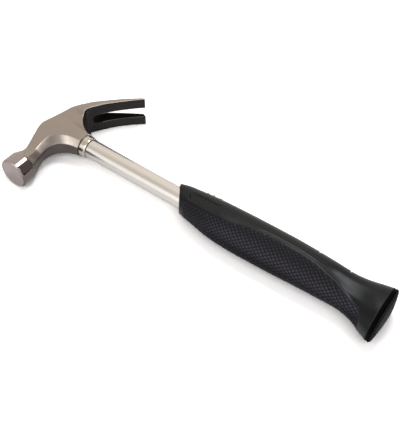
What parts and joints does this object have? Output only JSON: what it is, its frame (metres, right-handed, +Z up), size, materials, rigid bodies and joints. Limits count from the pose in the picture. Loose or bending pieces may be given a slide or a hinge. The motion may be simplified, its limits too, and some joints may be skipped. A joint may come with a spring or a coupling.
{
  "type": "claw hammer",
  "caption": "Curved-claw hammer with forged steel head, plated tubular steel shaft, neck collar and flared black rubber grip.",
  "frame": {"origin": "middle of the hammer's footprint as it lies on its side, on the surface below it", "axes": "+X along the handle from head to butt, +Y from the striking face to the claw, +Z up, across the thickness of the head"},
  "size_m": [0.3446, 0.1324, 0.035],
  "materials": {
    "forged_steel": "polished forged steel, with black lacquer in the notch and on the inner faces of the claw",
    "plated_tube": "satin nickel chrome plate",
    "plated_collar": "bright plate, slightly yellow",
    "plain_steel": "plain turned steel",
    "black_plastic": "moulded, matt",
    "black_rubber": "moulded rubber, with a knurled finger side and a smooth back and butt"
  },
  "bodies": {
    "root": {"hammer_head": "forged_steel", "shaft_tube": "plated_tube", "neck_collar": "plated_collar", "locking_plug": "plain_steel", "tube_end_plug": "black_plastic", "rubber_grip": "black_rubber"}
  },
  "joints": []
}
